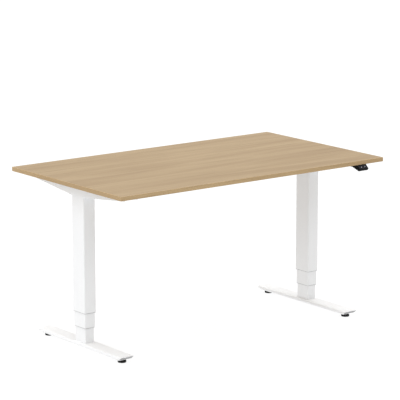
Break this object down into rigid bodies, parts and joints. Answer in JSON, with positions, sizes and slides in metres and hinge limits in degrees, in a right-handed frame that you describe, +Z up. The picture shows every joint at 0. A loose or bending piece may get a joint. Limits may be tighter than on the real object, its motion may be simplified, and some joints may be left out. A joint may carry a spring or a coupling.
{
  "type": "height adjustable standing desk",
  "caption": "Electric standing desk: rectangular wood-look top on a white frame with telescopic columns, flat feet with levelling glides and a button handset under the front edge.",
  "frame": {"origin": "on the floor under the middle of the tabletop", "axes": "+X along the long side of the top to the user's right, +Y away from the user, +Z up"},
  "size_m": [1.4, 0.8156, 0.725],
  "materials": {
    "oak_laminate": "satin laminate with a fine straight grain along the long side",
    "oak_edge": "satin edge band in the colour of the top",
    "white_powder_coat": "fine matt powder coat",
    "collar_plastic": "light grey moulded plastic",
    "slide_pad_plastic": "natural white low-friction plastic",
    "plug_plastic": "mid grey moulded plastic",
    "glide_rubber": "black hard rubber",
    "zinc_steel": "zinc plated",
    "spindle_steel": "rolled and oiled",
    "gear_bronze": "cut and lightly oiled",
    "nut_plastic": "natural white acetal",
    "gearbox_alloy": "die cast",
    "motor_black": "black satin paint",
    "control_black": "fine textured black plastic",
    "socket_black": "glossy moulded black",
    "circuit_green": "green solder mask",
    "handset_black": "fine textured black plastic",
    "panel_grey": "dark grey satin plastic",
    "button_grey": "dark grey soft touch rubber"
  },
  "bodies": {
    "base": {"left_foot_bar": "white_powder_coat", "right_foot_bar": "white_powder_coat", "foot_end_plugs": "plug_plastic", "glide_nuts": "zinc_steel", "foot_bolts": "zinc_steel", "left_inner_tube": "white_powder_coat", "right_inner_tube": "white_powder_coat", "inner_slide_pads": "slide_pad_plastic", "lower_drive_nuts": "nut_plastic"},
    "middle_stage": {"left_middle_tube": "white_powder_coat", "right_middle_tube": "white_powder_coat", "left_middle_collar": "collar_plastic", "right_middle_collar": "collar_plastic", "middle_slide_pads": "slide_pad_plastic", "upper_drive_nuts": "nut_plastic", "spindle_bearings": "gearbox_alloy"},
    "top": {"left_outer_tube": "white_powder_coat", "right_outer_tube": "white_powder_coat", "left_outer_collar": "collar_plastic", "right_outer_collar": "collar_plastic", "left_gearbox": "gearbox_alloy", "right_gearbox": "gearbox_alloy", "left_motor": "motor_black", "right_motor": "motor_black", "left_side_bracket": "white_powder_coat", "right_side_bracket": "white_powder_coat", "front_crossbeam": "white_powder_coat", "rear_crossbeam": "white_powder_coat", "beam_bolts": "zinc_steel", "tabletop_screws": "zinc_steel", "tabletop_board": "oak_laminate", "edge_band": "oak_edge", "control_box_base": "control_black", "control_box_cover": "control_black", "control_sockets": "socket_black", "control_circuit_board": "circuit_green", "control_box_screws": "zinc_steel", "handset_mount_plate": "handset_black", "handset_housing": "handset_black", "handset_faceplate": "panel_grey", "handset_circuit_board": "circuit_green", "handset_screws": "zinc_steel"},
    "up_button": {"up_button": "button_grey"},
    "down_button": {"down_button": "button_grey"},
    "left_upper_drive": {"left_upper_spindle": "spindle_steel", "left_drive_gear": "gear_bronze"},
    "left_lower_drive": {"left_lower_spindle": "spindle_steel"},
    "front_left_glide": {"front_left_glide_pad": "glide_rubber", "front_left_glide_stud": "zinc_steel"},
    "rear_left_glide": {"rear_left_glide_pad": "glide_rubber", "rear_left_glide_stud": "zinc_steel"},
    "right_upper_drive": {"right_upper_spindle": "spindle_steel", "right_drive_gear": "gear_bronze"},
    "right_lower_drive": {"right_lower_spindle": "spindle_steel"},
    "front_right_glide": {"front_right_glide_pad": "glide_rubber", "front_right_glide_stud": "zinc_steel"},
    "rear_right_glide": {"rear_right_glide_pad": "glide_rubber", "rear_right_glide_stud": "zinc_steel"}
  },
  "joints": [
    {"name": "lower_stage_lift", "type": "slide", "parent": "base", "child": "middle_stage", "axis": [0, 0, 1], "range_m": [-0.052, 0.273]},
    {"name": "upper_stage_lift", "type": "slide", "parent": "middle_stage", "child": "top", "axis": [0, 0, 1], "range_m": [-0.052, 0.273]},
    {"name": "left_upper_spindle_turn", "type": "hinge", "parent": "top", "child": "left_upper_drive", "pos_m": [-0.6075, 0, 0.5], "axis": [0, 0, 1], "range_deg": [-2360, 12305]},
    {"name": "left_lower_spindle_turn", "type": "hinge", "parent": "middle_stage", "child": "left_lower_drive", "pos_m": [-0.6075, 0, 0.5], "axis": [0, 0, 1], "range_deg": [-2360, 12305]},
    {"name": "front_left_glide_turn", "type": "hinge", "parent": "base", "child": "front_left_glide", "pos_m": [-0.6075, -0.268, 0.009], "axis": [0, 0, 1], "continuous": true},
    {"name": "rear_left_glide_turn", "type": "hinge", "parent": "base", "child": "rear_left_glide", "pos_m": [-0.6075, 0.268, 0.009], "axis": [0, 0, 1], "continuous": true},
    {"name": "right_upper_spindle_turn", "type": "hinge", "parent": "top", "child": "right_upper_drive", "pos_m": [0.6075, 0, 0.5], "axis": [0, 0, 1], "range_deg": [-2360, 12305]},
    {"name": "right_lower_spindle_turn", "type": "hinge", "parent": "middle_stage", "child": "right_lower_drive", "pos_m": [0.6075, 0, 0.5], "axis": [0, 0, 1], "range_deg": [-2360, 12305]},
    {"name": "front_right_glide_turn", "type": "hinge", "parent": "base", "child": "front_right_glide", "pos_m": [0.6075, -0.268, 0.009], "axis": [0, 0, 1], "continuous": true},
    {"name": "rear_right_glide_turn", "type": "hinge", "parent": "base", "child": "rear_right_glide", "pos_m": [0.6075, 0.268, 0.009], "axis": [0, 0, 1], "continuous": true},
    {"name": "up_button_press", "type": "slide", "parent": "top", "child": "up_button", "axis": [0, 0.6704, -0.742], "range_m": [0, 0.001], "stiffness_N_per_m": 1000, "springref_m": -0.0005},
    {"name": "down_button_press", "type": "slide", "parent": "top", "child": "down_button", "axis": [0, 0.6704, -0.742], "range_m": [0, 0.001], "stiffness_N_per_m": 1000, "springref_m": -0.0005}
  ],
  "couplings": [
    {"joint": "upper_stage_lift", "follows": "lower_stage_lift", "ratio": 1},
    {"joint": "left_upper_spindle_turn", "follows": "lower_stage_lift", "rad_per_m": 785.4},
    {"joint": "left_lower_spindle_turn", "follows": "lower_stage_lift", "rad_per_m": 785.4},
    {"joint": "right_upper_spindle_turn", "follows": "lower_stage_lift", "rad_per_m": 785.4},
    {"joint": "right_lower_spindle_turn", "follows": "lower_stage_lift", "rad_per_m": 785.4}
  ]
}
